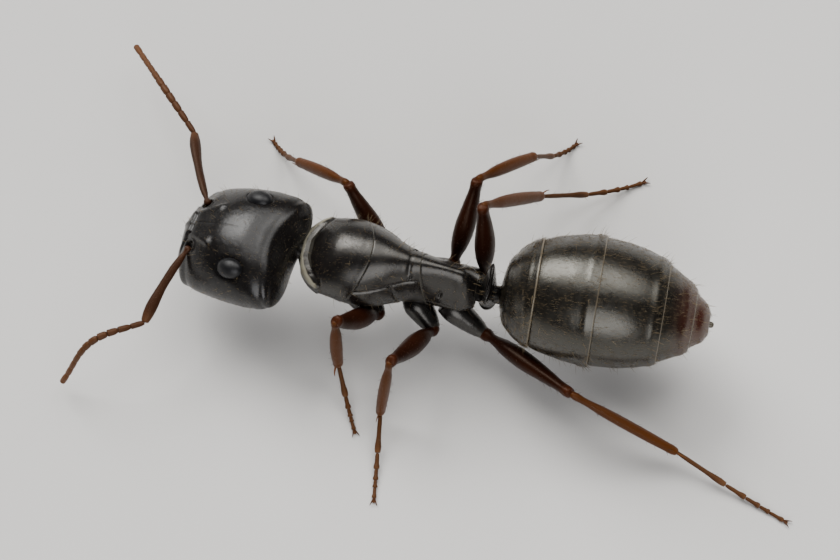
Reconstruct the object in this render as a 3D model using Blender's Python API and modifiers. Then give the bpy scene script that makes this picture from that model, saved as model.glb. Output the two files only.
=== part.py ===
"""Carpenter ant worker, life size, standing still in mid stride.

The ant looks along -Y, its left side is +X and the floor is z = 0. Its hard plates are modelled as
whole shells and parted with thin cuts, one object for each part of the body that has a name.
Sizes and places below are in millimetres, and meshes and objects are made in metres.
"""
import math

import bmesh
import bpy
from mathutils import Matrix, Vector

MM = 0.001
GAP = 0.05  # width of the thin cut between neighbours
SMALLEST = 1e-7  # in metres: points nearer than this are one point

# Head, in its own frame: -Y to the jaws, +Z out of the face.
HEAD_CENTRE = Vector((0.16, -4.14, 2.30))
HEAD_PITCH = math.radians(24)  # jaws down
HEAD_YAW = math.radians(-10)  # to the ant's right
HEAD_STATIONS = (  # back along Y, half width, top, bottom
    (-1.33, 0.66, 0.16, -0.34),
    (-1.21, 0.99, 0.38, -0.50),
    (-0.87, 1.21, 0.67, -0.71),
    (-0.37, 1.32, 0.88, -0.88),
    (0.19, 1.38, 0.93, -0.96),
    (0.70, 1.39, 0.83, -0.93),
    (1.07, 1.33, 0.64, -0.80),
    (1.29, 1.13, 0.43, -0.60),
    (1.40, 0.62, 0.18, -0.34),
)
HEAD_WAIST = 0.48  # height of the widest line, as a share of the whole, and so for the others
NAPE_NOTCH = 0.21  # how far the middle of the head's back edge is drawn in
NAPE_NOTCH_WIDTH = 0.70
NAPE_NOTCH_POWER = 4.5  # how suddenly the notch begins towards the back
CLYPEUS_RISE = 0.09
CLYPEUS_CENTRE = (0.0, -0.98)
CLYPEUS_SPREAD = (0.42, 0.31)

EYE_PLACE = Vector((0.88, 0.38, 0.61))
EYE_RADII = Vector((0.235, 0.315, 0.20))
EYE_TILT = math.radians(34)  # outwards from the face's normal

MANDIBLE_STATIONS = (  # back along Y, half width, top, bottom
    (-1.74, 0.07, 0.00, -0.12),
    (-1.66, 0.22, 0.05, -0.17),
    (-1.50, 0.37, 0.11, -0.20),
    (-1.28, 0.40, 0.15, -0.21),
    (-1.05, 0.32, 0.14, -0.19),
    (-0.97, 0.18, 0.07, -0.11),
)
MANDIBLE_WAIST = 0.45
MANDIBLE_BASE_SIDE = 0.60
MANDIBLE_TIP_SIDE = 0.08
MANDIBLE_BEND = 1.6
MANDIBLE_DROP = 0.12  # of its base below the head's middle plane
MANDIBLE_DIP = 0.24  # how much lower still its tip lies

ANTENNA_SOCKET = Vector((0.54, -0.84, 0.61))  # in the head's frame
ANTENNA_POINTS = {  # elbow, bend and tip
    "left": (
        Vector((2.28, -5.86, 1.90)),
        Vector((2.84, -6.84, 2.00)),
        Vector((3.43, -7.56, 0.42)),
    ),
    "right": (
        Vector((-2.46, -5.77, 1.80)),
        Vector((-3.40, -6.66, 1.72)),
        Vector((-4.65, -7.64, 0.90)),
    ),
}
ANTENNA_PIECES = ("scape", "funiculus_base", "funiculus_tip")
FEELER_RADIUS = 0.25

# Trunk
TRUNK_STATIONS = (  # back along Y, half width, top, bottom
    (-2.90, 0.22, 2.38, 2.12),
    (-2.84, 0.40, 2.43, 2.06),
    (-2.72, 0.60, 2.49, 1.99),
    (-2.56, 0.77, 2.58, 1.91),
    (-2.38, 0.87, 2.74, 1.80),
    (-2.10, 0.92, 2.95, 1.66),
    (-1.55, 0.96, 3.10, 1.44),
    (-0.95, 0.79, 3.10, 1.26),
    (-0.35, 0.53, 2.96, 1.16),
    (0.15, 0.49, 2.88, 1.18),
    (0.60, 0.51, 2.78, 1.22),
    (0.95, 0.50, 2.60, 1.34),
    (1.12, 0.37, 2.24, 1.50),
)
TRUNK_WAIST = 0.40
TRUNK_KEEL_START = -0.30  # behind this the back narrows to a ridge
TRUNK_KEEL_RUN = 0.80
TRUNK_KEEL = 0.34
TRUNK_CUTS = (  # a point of the cut and the cut's normal
    (Vector((0, -1.22, 3.14)), Vector((0, 0.90, -0.44))),
    (Vector((0, -0.14, 3.00)), Vector((0, 0.985, 0.17))),
)
TRUNK_PIECES = ("pronotum", "mesothorax", "propodeum")

PETIOLE_WAIST = 0.45
PETIOLE_STATIONS = (
    (1.17, 0.24, 1.98, 1.52),
    (1.25, 0.31, 2.14, 1.46),
    (1.36, 0.45, 2.66, 1.42),
    (1.45, 0.46, 2.74, 1.42),
    (1.54, 0.34, 2.30, 1.46),
    (1.61, 0.23, 2.02, 1.54),
)

GASTER_WAIST = 0.50
GASTER_STATIONS = (
    (1.66, 0.24, 2.14, 1.56),
    (1.74, 0.56, 2.62, 1.36),
    (1.95, 0.89, 3.06, 1.16),
    (2.40, 1.18, 3.44, 0.98),
    (3.20, 1.40, 3.70, 0.86),
    (4.15, 1.44, 3.70, 0.86),
    (5.00, 1.26, 3.42, 1.02),
    (5.66, 0.93, 2.98, 1.26),
    (6.08, 0.58, 2.56, 1.50),
    (6.32, 0.28, 2.22, 1.72),
    (6.40, 0.10, 2.06, 1.84),
)
GASTER_CUTS_AT = (2.47, 3.85, 5.32, 5.98)
GASTER_TURN_AT = 1.45  # along Y, on the petiole
GASTER_YAW = math.radians(3.5)  # its tip to the ant's right

LEG_SIZES = {  # coxa's root on the left side, then femur, tibia and tarsus lengths
    "fore": (Vector((0.42, -1.70, 1.72)), 2.30, 2.05, 1.45),
    "mid": (Vector((0.36, -0.26, 1.42)), 2.45, 2.25, 1.85),
    "hind": (Vector((0.32, 0.50, 1.50)), 2.80, 2.90, 2.75),
}
# In a pose the hip, where the coxa ends, is given as on the left side. Femur and tibia have a
# (heading, pitch) in degrees and the tarsus a heading: headings turn from straight ahead towards
# the leg's own side, and pitches rise from level.
LEG_POSES = {
    ("fore", "left"): (Vector((0.66, -0.72, 1.00)), (46, 52), (114, -83), 117),
    ("mid", "left"): (Vector((0.72, 0.42, 0.96)), (65, 44), (75, -79), 97),
    ("hind", "left"): (Vector((0.62, 1.44, 1.00)), (148, 19), (172, -29), 160),
    ("fore", "right"): (Vector((0.66, -0.64, 1.02)), (36, 39), (31, -40), 48),
    ("mid", "right"): (Vector((0.74, 0.50, 0.96)), (98, 53), (128, -39), 125),
    ("hind", "right"): (Vector((0.60, 1.32, 0.98)), (64, 73), (130, -52), 148),
}
LEG_PIECES = ("coxa", "femur", "tibia", "tarsus")
COXA_RADII = (0.36, 0.25)
FEMUR_RADII = (0.25, 0.29, 0.25)
TIBIA_RADII = (0.25, 0.26, 0.25)
TARSUS_RADII = (0.26, 0.25, 0.25)
TOE_HEIGHT = 0.14  # of the tarsus's axis at its tip, less than its radius, so the foot has a flat
LIMB_OVERRUN = 0.7  # how far a limb's round end reaches past its joint, in radii of that end
LIMB_SHOULDER = 0.45  # where the round end begins, as a share of the overrun
LIMB_SHOULDER_RADIUS = 0.76  # in radii of that end
SMALLEST_REACH = 1e-4  # a sphere's point nearer than this to its axis is a pole

BODY_SIDES, BODY_RINGS = 24, 18
SMALL_SIDES, SMALL_RINGS = 14, 9
LIMB_SIDES = 10

FINISHES = {  # linear colour, roughness
    "chitin": ((0.010, 0.009, 0.009), 0.22),
    "gaster": ((0.014, 0.012, 0.010), 0.28),
    "eye": ((0.008, 0.008, 0.009), 0.15),
    "jaw": ((0.030, 0.010, 0.006), 0.25),
    "feeler": ((0.045, 0.018, 0.010), 0.40),
    "leg": ((0.060, 0.020, 0.011), 0.30),
    "foot": ((0.160, 0.066, 0.030), 0.45),
}


def clear_scene():
    for obj in list(bpy.data.objects):
        bpy.data.objects.remove(obj, do_unlink=True)


def new_collection(name):
    made = bpy.data.collections.new(name)
    bpy.context.scene.collection.children.link(made)
    return made


def finish_material(name, finish):
    """A material of the piece's own, in one of the ant's finishes."""
    colour, roughness = FINISHES[finish]
    material = bpy.data.materials.new(name)
    material.use_nodes = True
    shader = material.node_tree.nodes["Principled BSDF"]
    shader.inputs["Base Color"].default_value = (*colour, 1)
    shader.inputs["Roughness"].default_value = roughness
    shader.inputs["Metallic"].default_value = 0
    return material


def add_part(name, bm, finish, parent, place=None):
    """Makes a node from a bmesh in millimetres, placed in its parent's frame."""
    bmesh.ops.recalc_face_normals(bm, faces=bm.faces)
    bmesh.ops.scale(bm, vec=(MM, MM, MM), verts=bm.verts)
    mesh = bpy.data.meshes.new(name)
    bm.to_mesh(mesh)
    bm.free()
    mesh.shade_smooth()
    mesh.set_sharp_from_angle(angle=math.radians(40))
    part = bpy.data.objects.new(name, mesh)
    mesh.materials.append(finish_material(name, finish))
    parts.objects.link(part)
    part.parent = parent
    if place:
        turn = place.to_quaternion()
        part.rotation_mode = "QUATERNION"
        part.rotation_quaternion = turn
        part.location = place.translation * MM
    return part


def add_cutter(name, bm, parent, place=None):
    """A helper as large as the shell in bm with the thin cut round it."""
    swell(bm, GAP)
    cutter = add_part(name, bm, "chitin", parent, place)
    parts.objects.unlink(cutter)
    cutters.objects.link(cutter)
    cutter.hide_render = True
    cutter.display_type = "WIRE"
    return cutter


def cut_away(part, cutter):
    cut = part.modifiers.new("clear of " + cutter.name, "BOOLEAN")
    cut.operation = "DIFFERENCE"
    cut.solver = "EXACT"
    cut.object = cutter


def swell(bm, distance):
    """Moves every point out along its normal."""
    bmesh.ops.recalc_face_normals(bm, faces=bm.faces)
    bm.normal_update()
    moved = [vert.co + vert.normal * distance for vert in bm.verts]
    for vert, point in zip(bm.verts, moved):
        vert.co = point


def values_at(stations, along):
    """Reads the stations at a place between them, on a smooth curve through their values."""
    last = len(stations) - 2
    index = max(i for i in range(last + 1) if i == 0 or stations[i][0] <= along)
    before, start = stations[max(index - 1, 0)], stations[index]
    end, after = stations[index + 1], stations[min(index + 2, last + 1)]
    span = end[0] - start[0]
    t = min(max((along - start[0]) / span, 0), 1)
    found = []
    for k in range(1, len(start)):
        slope_start = (end[k] - before[k]) / (end[0] - before[0]) * span
        slope_end = (after[k] - start[k]) / (after[0] - start[0]) * span
        found.append(
            (2 * t**3 - 3 * t**2 + 1) * start[k]
            + (t**3 - 2 * t**2 + t) * slope_start
            + (3 * t**2 - 2 * t**3) * end[k]
            + (t**3 - t**2) * slope_end
        )
    return found


def lofted(stations, sides, rings, middle, keel=None, adjust=None):
    """A closed shell along Y, from a sphere whose rings take the stations' widths and heights.

    middle is the height of the widest line, as a share of the whole. keel(along) narrows the top.
    """
    bm = bmesh.new()
    bmesh.ops.create_uvsphere(bm, u_segments=sides, v_segments=rings, radius=1)
    bmesh.ops.rotate(bm, verts=bm.verts, cent=(0, 0, 0), matrix=Matrix.Rotation(math.pi / 2, 3, "X"))
    first, last = stations[0][0], stations[-1][0]
    for vert in bm.verts:
        side, back, up = vert.co
        along = first + (last - first) * (back + 1) / 2
        width, top, bottom = values_at(stations, along)
        waist = bottom + middle * (top - bottom)
        reach = math.hypot(side, up)
        if reach < SMALLEST_REACH:
            side, up = 0, 0
        else:
            side, up = side / reach, up / reach
        height = (top - waist) if up > 0 else (waist - bottom)
        narrowing = 1 - keel(along) * max(up, 0) if keel else 1
        vert.co = Vector((width * side * narrowing, along, waist + height * up))
        if adjust:
            vert.co = adjust(vert.co)
    return bm


def kept_side(bm, point, normal):
    """Keeps what lies behind a plane, and closes the cut."""
    everything = bm.verts[:] + bm.edges[:] + bm.faces[:]
    bmesh.ops.bisect_plane(bm, geom=everything, plane_co=point, plane_no=normal, clear_outer=True)
    rim = [edge for edge in bm.edges if edge.is_boundary]
    bmesh.ops.holes_fill(bm, edges=rim, sides=0)


def between_cuts(bm, before, after):
    """A copy of the shell between two planes, each (point, normal) or None."""
    piece = bm.copy()
    if after:
        point, normal = after
        kept_side(piece, point - normal * GAP / 2, normal)
    if before:
        point, normal = before
        kept_side(piece, point + normal * GAP / 2, -normal)
    return piece


def turned(profile):
    """A closed shell turned about Z, from (height, radius) pairs that start and end on the axis."""
    outline = bpy.data.meshes.new("profile")
    points = [(radius * MM, 0, height * MM) for height, radius in profile]
    outline.from_pydata(points, [(i, i + 1) for i in range(len(points) - 1)], [])
    helper = bpy.data.objects.new("profile", outline)
    bpy.context.scene.collection.objects.link(helper)
    screw = helper.modifiers.new("turn", "SCREW")
    screw.steps = screw.render_steps = LIMB_SIDES
    screw.use_merge_vertices = True
    screw.merge_threshold = SMALLEST
    graph = bpy.context.evaluated_depsgraph_get()
    mesh = bpy.data.meshes.new_from_object(helper.evaluated_get(graph))
    bm = bmesh.new()
    bm.from_mesh(mesh)
    bmesh.ops.remove_doubles(bm, verts=bm.verts, dist=SMALLEST)
    bmesh.ops.scale(bm, vec=(1 / MM, 1 / MM, 1 / MM), verts=bm.verts)
    bpy.data.objects.remove(helper, do_unlink=True)
    bpy.data.meshes.remove(mesh)
    return bm


def spindle_profile(length, radii):
    """(height, radius) pairs of a limb with round ends that reach past its joints."""
    start, middle, end = radii
    shoulder = LIMB_SHOULDER * LIMB_OVERRUN
    return (
        (-LIMB_OVERRUN * start, 0),
        (-shoulder * start, LIMB_SHOULDER_RADIUS * start),
        (0.1 * length, start + 0.35 * (middle - start)),
        (0.4 * length, middle),
        (0.75 * length, end + 0.4 * (middle - end)),
        (length + shoulder * end, LIMB_SHOULDER_RADIUS * end),
        (length + LIMB_OVERRUN * end, 0),
    )


def add_limb(names, points, radii, finishes, parent, floor_cut=False):
    """A chain of turned pieces from joint to joint, parted at each joint where the two meet."""
    made = []
    count = len(names)
    directions = [(points[i + 1] - points[i]).normalized() for i in range(count)]
    for i in range(count):
        length = (points[i + 1] - points[i]).length
        bm = turned(spindle_profile(length, radii[i]))
        turn = directions[i].to_track_quat("Z", "Y")
        place = Matrix.LocRotScale(points[i], turn, None)
        planes = []
        if i > 0:
            planes.append((points[i], -(directions[i - 1] + directions[i]).normalized(), GAP / 2))
        if i < count - 1:
            planes.append((points[i + 1], (directions[i] + directions[i + 1]).normalized(), GAP / 2))
        elif floor_cut:
            planes.append((Vector(), Vector((0, 0, -1)), 0))
        for point, normal, back in planes:
            local = place.inverted() @ (point - normal * back)
            kept_side(bm, local, turn.inverted() @ normal)
        made.append(add_part(names[i], bm, finishes[i], parent, place))
    return made


def direction(heading, pitch, side):
    heading, pitch = math.radians(heading), math.radians(pitch)
    level = math.cos(pitch)
    return Vector((side * math.sin(heading) * level, -math.cos(heading) * level, math.sin(pitch)))


def mirrored(point, side):
    return Vector((point.x * side, point.y, point.z))


def head_form(point):
    """Draws in the middle of the back edge and raises the clypeus over the mouth."""
    along = (point.y - HEAD_STATIONS[0][0]) / (HEAD_STATIONS[-1][0] - HEAD_STATIONS[0][0])
    middle = math.exp(-((point.x / NAPE_NOTCH_WIDTH) ** 2))
    notch = NAPE_NOTCH * middle * max(along, 0) ** NAPE_NOTCH_POWER
    across = (point.x - CLYPEUS_CENTRE[0]) / CLYPEUS_SPREAD[0]
    ahead = (point.y - CLYPEUS_CENTRE[1]) / CLYPEUS_SPREAD[1]
    rise = CLYPEUS_RISE * math.exp(-(across**2) - ahead**2) if point.z > 0 else 0
    return point + Vector((0, -notch, rise))


def head_shell():
    return lofted(HEAD_STATIONS, BODY_SIDES, BODY_RINGS, HEAD_WAIST, adjust=head_form)


def eye_shell():
    bm = bmesh.new()
    bmesh.ops.create_uvsphere(bm, u_segments=SMALL_SIDES, v_segments=SMALL_RINGS, radius=1)
    bmesh.ops.scale(bm, vec=EYE_RADII, verts=bm.verts)
    return bm


def mandible_shell(side):
    """A blade that curves in from the head's corner to the midline, where its biting edge is cut."""
    first, last = MANDIBLE_STATIONS[0][0], MANDIBLE_STATIONS[-1][0]

    def bend(point):
        reach = (last - point.y) / (last - first)
        centre = MANDIBLE_BASE_SIDE + (MANDIBLE_TIP_SIDE - MANDIBLE_BASE_SIDE) * reach**MANDIBLE_BEND
        drop = MANDIBLE_DROP + MANDIBLE_DIP * reach
        return Vector((side * (centre + point.x), point.y, point.z - drop))

    bm = lofted(MANDIBLE_STATIONS, SMALL_SIDES, SMALL_RINGS, MANDIBLE_WAIST, adjust=bend)
    kept_side(bm, Vector((side * GAP / 2, 0, 0)), Vector((-side, 0, 0)))
    return bm


def add_head(ant):
    turn = Matrix.Rotation(HEAD_YAW, 3, "Z") @ Matrix.Rotation(HEAD_PITCH, 3, "X")
    place = Matrix.LocRotScale(HEAD_CENTRE, turn, None)
    head = add_part("head", head_shell(), "chitin", ant, place)
    clearance = add_cutter("head_clearance", head_shell(), ant, place)
    for name, side in (("left", 1), ("right", -1)):
        tilt = Matrix.Rotation(side * EYE_TILT, 3, "Y")
        socket = Matrix.LocRotScale(mirrored(EYE_PLACE, side), tilt, None)
        add_part("eye_" + name, eye_shell(), "eye", head, socket)
        cut_away(head, add_cutter("eye_clearance_" + name, eye_shell(), head, socket))
        mandible = add_part("mandible_" + name, mandible_shell(side), "jaw", head)
        cut_away(mandible, clearance)
        points = (place @ mirrored(ANTENNA_SOCKET, side), *ANTENNA_POINTS[name])
        names = [f"antenna_{name}_{piece}" for piece in ANTENNA_PIECES]
        radii = [(FEELER_RADIUS,) * 3] * 3
        scape = add_limb(names, points, radii, ["feeler"] * 3, ant)[0]
        cut_away(scape, clearance)
    return clearance


def trunk_keel(along):
    return TRUNK_KEEL * min(max((along - TRUNK_KEEL_START) / TRUNK_KEEL_RUN, 0), 1)


def trunk_shell():
    return lofted(TRUNK_STATIONS, BODY_SIDES, BODY_RINGS, TRUNK_WAIST, keel=trunk_keel)


def add_trunk(ant, head_clearance):
    whole = trunk_shell()
    cuts = (None, *TRUNK_CUTS, None)
    for name, before, after in zip(TRUNK_PIECES, cuts, cuts[1:]):
        piece = add_part(name, between_cuts(whole, before, after), "chitin", ant)
        if before is None:
            cut_away(piece, head_clearance)
    whole.free()
    return add_cutter("trunk_clearance", trunk_shell(), ant)


def add_petiole(ant):
    bm = lofted(PETIOLE_STATIONS, SMALL_SIDES, SMALL_RINGS, PETIOLE_WAIST)
    add_part("petiole", bm, "chitin", ant)


def add_gaster(ant):
    whole = lofted(GASTER_STATIONS, BODY_SIDES, BODY_RINGS, GASTER_WAIST)
    cuts = (None, *((Vector((0, at, 0)), Vector((0, 1, 0))) for at in GASTER_CUTS_AT), None)
    pivot = Vector((0, GASTER_TURN_AT, 0))
    turn = Matrix.Rotation(GASTER_YAW, 4, "Z")
    place = Matrix.Translation(pivot) @ turn @ Matrix.Translation(-pivot)
    for number, (before, after) in enumerate(zip(cuts, cuts[1:]), start=1):
        segment = between_cuts(whole, before, after)
        add_part(f"gaster_segment_{number}", segment, "gaster", ant, place)
    whole.free()


def leg_points(pair, side_name):
    """Coxa's root, hip, knee, ankle and toe. The tarsus's pitch brings the toe to the floor."""
    side = 1 if side_name == "left" else -1
    root, femur, tibia, tarsus = LEG_SIZES[pair]
    hip, femur_way, tibia_way, tarsus_heading = LEG_POSES[pair, side_name]
    hip = mirrored(hip, side)
    knee = hip + direction(*femur_way, side) * femur
    ankle = knee + direction(*tibia_way, side) * tibia
    tarsus_pitch = -math.degrees(math.asin((ankle.z - TOE_HEIGHT) / tarsus))
    toe = ankle + direction(tarsus_heading, tarsus_pitch, side) * tarsus
    return [mirrored(root, side), hip, knee, ankle, toe]


def add_legs(ant, trunk_clearance):
    coxa_middle = sum(COXA_RADII) / 2
    radii = [(COXA_RADII[0], coxa_middle, COXA_RADII[1]), FEMUR_RADII, TIBIA_RADII, TARSUS_RADII]
    finishes = ["chitin", "leg", "leg", "foot"]
    for pair, side_name in LEG_POSES:
        names = [f"leg_{pair}_{side_name}_{piece}" for piece in LEG_PIECES]
        made = add_limb(names, leg_points(pair, side_name), radii, finishes, ant, floor_cut=True)
        cut_away(made[0], trunk_clearance)


def stand_on_origin(ant):
    """Moves the ant so that the origin is under the middle of its box, on the floor."""
    bpy.context.view_layer.update()
    shells = [part for part in parts.objects if part.type == "MESH"]
    corners = [part.matrix_world @ Vector(corner) for part in shells for corner in part.bound_box]
    middle = [(min(c[k] for c in corners) + max(c[k] for c in corners)) / 2 for k in (0, 1)]
    ant.location = (-middle[0], -middle[1], 0)


clear_scene()
parts = new_collection("carpenter_ant")
cutters = new_collection("cutters")
body = bpy.data.objects.new("ant", None)
parts.objects.link(body)
clear_of_head = add_head(body)
clear_of_trunk = add_trunk(body, clear_of_head)
add_petiole(body)
add_gaster(body)
add_legs(body, clear_of_trunk)
stand_on_origin(body)
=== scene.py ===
"""The looks of a life-size carpenter ant: plates, limbs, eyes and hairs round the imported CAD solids.

Forms are made in millimetres, in the ant's own frame as in the CAD: the ant looks along -Y, its left
side is +X, and the origin is on the floor. Every grid of points has its rows along a form and its
columns round it, so that columns turn about the rows' direction and the surface faces outwards.
"""

import math
from collections import namedtuple

import bpy
import numpy as np
from mathutils import Matrix, Vector


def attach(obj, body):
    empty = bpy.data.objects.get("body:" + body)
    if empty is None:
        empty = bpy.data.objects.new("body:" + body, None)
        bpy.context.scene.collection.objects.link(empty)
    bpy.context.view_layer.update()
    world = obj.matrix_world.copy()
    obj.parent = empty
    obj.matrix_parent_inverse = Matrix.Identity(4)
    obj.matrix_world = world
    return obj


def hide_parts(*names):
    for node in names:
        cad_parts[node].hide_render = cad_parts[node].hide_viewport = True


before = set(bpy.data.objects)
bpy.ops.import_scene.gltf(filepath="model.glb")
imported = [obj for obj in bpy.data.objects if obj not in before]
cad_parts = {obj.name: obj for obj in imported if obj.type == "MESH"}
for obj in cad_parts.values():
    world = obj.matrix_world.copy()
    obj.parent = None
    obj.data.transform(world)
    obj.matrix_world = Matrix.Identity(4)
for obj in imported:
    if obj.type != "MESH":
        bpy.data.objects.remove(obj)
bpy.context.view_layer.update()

MM = 0.001
SEED = 7
SIDES = (("left", 1), ("right", -1))
PAIRS = ("fore", "mid", "hind")
SIDEWAYS = np.array((1.0, 0, 0))
UPWARDS = np.array((0, 0, 1.0))

# Body forms, in mm in the ant's frame: back along Y, half width, top, bottom.
GASTER_FRONT = 1.66
GASTER_TURN_AT = 1.45  # along Y, on the petiole
GASTER_FORM = (
    (GASTER_FRONT, 0.24, 2.14, 1.56),
    (1.74, 0.56, 2.62, 1.36),
    (1.95, 0.89, 3.06, 1.16),
    (2.40, 1.18, 3.44, 0.98),
    (3.20, 1.40, 3.70, 0.86),
    (4.15, 1.44, 3.70, 0.86),
    (5.00, 1.26, 3.42, 1.02),
    (5.66, 0.93, 2.98, 1.26),
    (6.08, 0.58, 2.56, 1.50),
    (6.32, 0.28, 2.22, 1.72),
    (6.40, 0.10, 2.06, 1.84),
)
TERGITE_ENDS = (GASTER_FRONT, 2.47, 3.85, 5.32, 5.98, 6.36)
TRUNK_FRONT = -2.9
TRUNK_FORM = (
    (TRUNK_FRONT, 0.22, 2.38, 2.12),
    (-2.84, 0.40, 2.43, 2.06),
    (-2.72, 0.60, 2.49, 1.99),
    (-2.56, 0.77, 2.58, 1.91),
    (-2.38, 0.87, 2.74, 1.80),
    (-2.10, 0.92, 2.95, 1.66),
    (-1.55, 0.96, 3.10, 1.44),
    (-0.95, 0.79, 3.10, 1.26),
    (-0.35, 0.53, 2.96, 1.16),
    (0.15, 0.49, 2.88, 1.18),
    (0.60, 0.51, 2.78, 1.22),
    (0.95, 0.50, 2.60, 1.34),
    (1.14, 0.37, 2.24, 1.50),
)
TRUNK_KEEL_START, TRUNK_KEEL_RUN, TRUNK_KEEL = -0.3, 0.8, 0.34
TRUNK_SUTURES = (  # a point (y, z) of each oblique cut in side view, and how far it leans back per mm up
    (-1.22, 3.14, 0.489),
    (-0.14, 3.00, -0.173),
)
COLLAR_HIGHLIGHT_BACK, COLLAR_HIGHLIGHT_LOW = -2.3, 2.24  # the collar's painted highlight, partly its own paler rim, lies ahead of the first and above the second
HEAD_FORM = (  # in the head's frame: back along Y, half width, top, bottom
    (-1.33, 0.66, 0.16, -0.34),
    (-1.21, 0.99, 0.38, -0.50),
    (-0.87, 1.21, 0.67, -0.71),
    (-0.37, 1.32, 0.88, -0.88),
    (0.19, 1.38, 0.93, -0.96),
    (0.70, 1.39, 0.83, -0.93),
    (1.07, 1.33, 0.64, -0.80),
    (1.29, 1.13, 0.43, -0.60),
    (1.40, 0.62, 0.18, -0.34),
)
HEAD_FRONT = HEAD_FORM[0][0]
HEAD_WIDEST, TRUNK_WIDEST, GASTER_WIDEST = 0.48, 0.40, 0.50  # how high a form is widest, as a share
HEAD_TOP = 0.932
EYE_TO_JAW_DIP = math.radians(26.99)  # the line from the eyes to the jaws dips this far from the face
NAPE_NOTCH, NAPE_NOTCH_WIDTH, NAPE_NOTCH_POWER = 0.21, 0.7, 4.5
FACE_CROWDING = 0.35  # how much closer the head's columns lie on its face
ANTENNA_SOCKET = (0.54, -0.84, 0.6)
EYE_RADII = (0.235, 0.315, 0.2)
EYE_TILT = math.radians(34)
EYE_FACET, EYE_FACET_RISE = 0.027, 0.0045

# Camera: its direction from the ant, as azimuth from -Y towards +X and height above the floor.
CAMERA_AZIMUTH = math.radians(101.6)
CAMERA_HEIGHT = math.radians(68)
CAMERA_LENS = 300
SENSOR = 36
ANT_SHARE = 0.87  # of the picture's width that the ant takes

FLOOR_SIZE = 8.0  # in metres, as are the lamps' and the camera's distances
LAMP_DISTANCE = 0.3
FLOOR_COLOURS = ((0.6, 0.59, 0.575), (0.64, 0.63, 0.615))
WARM_LIGHT, COOL_LIGHT = (1.0, 0.99, 0.97), (0.98, 0.98, 1.0)
SUNS = (  # name, direction from the ant, strength, width in degrees, colour
    ("light_above", (-0.42, -0.08, 0.90), 2.1, 52, WARM_LIGHT),
    ("light_ahead", (-0.48, -0.56, 0.67), 3.0, 36, WARM_LIGHT),
    ("light_behind", (-0.40, 0.42, 0.81), 1.0, 38, WARM_LIGHT),
    ("light_beside", (0.83, 0.20, 0.52), 1.9, 44, COOL_LIGHT),
)
ROOM_LIGHT = (0.035, 0.036, 0.038)
BACKDROP = (1.07, 1.05, 1.02)

Shell = namedtuple("Shell", "points quads triangles tone")
Skin = namedtuple("Skin", "grid wrapped", defaults=[True])


# ---- numbers ----


def unit(vectors):
    return vectors / np.maximum(np.linalg.norm(vectors, axis=-1, keepdims=True), 1e-12)


def smooth(t):
    t = np.clip(t, 0, 1)
    return t * t * (3 - 2 * t)


def bell(t):
    return np.exp(-np.square(t))


def window(t, start, end, fade):
    """1 between start and end, fading to 0 over fade outside them."""
    return smooth((t - start) / fade + 1) * smooth((end - t) / fade + 1)


def read_curve(table, at):
    """Smooth values of a table of (place, value, ...) rows at any places, one array per value."""
    table = np.asarray(table, float)
    places, values = table[:, 0], table[:, 1:]
    slopes = np.gradient(values, places, axis=0)
    at = np.clip(at, places[0], places[-1])
    index = np.clip(np.searchsorted(places, at, side="right") - 1, 0, len(places) - 2)
    span = (places[index + 1] - places[index])[..., None]
    t = (at - places[index])[..., None] / span
    found = (2 * t**3 - 3 * t**2 + 1) * values[index] + (t**3 - 2 * t**2 + t) * span * slopes[index]
    found += (3 * t**2 - 2 * t**3) * values[index + 1] + (t**3 - t**2) * span * slopes[index + 1]
    return np.moveaxis(found, -1, 0)


def eased(count, ease, start=0, end=1):
    """Places from start to end that crowd towards both, more so the nearer ease is to 1."""
    t = np.linspace(0, 1, count)
    return start + (end - start) * ((1 - ease) * t + ease * (0.5 - 0.5 * np.cos(np.pi * t)))


def rounding(distance, radius):
    """0 at an edge and 1 from radius inwards, as a quarter circle."""
    return np.sqrt(np.maximum(1 - (1 - np.clip(distance / radius, 0, 1)) ** 2, 0))


def end_rounding(along, radius, least):
    """What a form's width is multiplied by: least at both ends, rising to 1 from radius inwards."""
    return np.maximum(rounding(np.minimum(along - along[0], along[-1] - along), radius), least)


def turns(count):
    """Angles round a form, from underneath round the right side, the top and the left side."""
    return np.linspace(-np.pi, np.pi, count, endpoint=False)


def lattice(along, around):
    """Both as grids: places along a form, one for each row, and angles round it, one for each column."""
    return np.meshgrid(along, around, indexing="ij")


def outwards(points):
    """x, y and z of points, with x counted outwards from the middle plane on both sides."""
    return np.abs(points[..., 0]), points[..., 1], points[..., 2]


def turned(x, z, angle):
    """x and z turned by an angle, from x towards z."""
    cos, sin = math.cos(angle), math.sin(angle)
    return x * cos - z * sin, x * sin + z * cos


def box_middle(points):
    return (points.min(0) + points.max(0)) / 2


def grid_normals(grid, wrapped):
    along = np.gradient(grid, axis=0)
    across = np.roll(grid, -1, 1) - np.roll(grid, 1, 1) if wrapped else np.gradient(grid, axis=1)
    return unit(np.cross(across, along))


class Frame:
    """A place with three axes. Local points are in mm along the side, back and up axes."""

    def __init__(self, origin, side, back, up):
        self.origin = np.asarray(origin, float)
        self.axes = np.array((side, back, up), float)

    def place(self, points):
        return self.origin + np.asarray(points, float) @ self.axes

    def read(self, points):
        return (np.asarray(points, float) - self.origin) @ self.axes.T


# ---- places read from the CAD ----


def cad_points(*nodes):
    """The corners of CAD nodes, in mm."""
    found = []
    for node in nodes:
        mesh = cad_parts[node].data
        corners = np.empty(len(mesh.vertices) * 3)
        mesh.vertices.foreach_get("co", corners)
        found.append(corners.reshape(-1, 3) / MM)
    return np.concatenate(found)


def ant_frame():
    """The ant's own frame, from its trunk's middle plane and front end."""
    trunk = cad_points("pronotum")
    return Frame((box_middle(trunk)[0], trunk[:, 1].min() - TRUNK_FRONT, 0), *np.eye(3))


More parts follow.
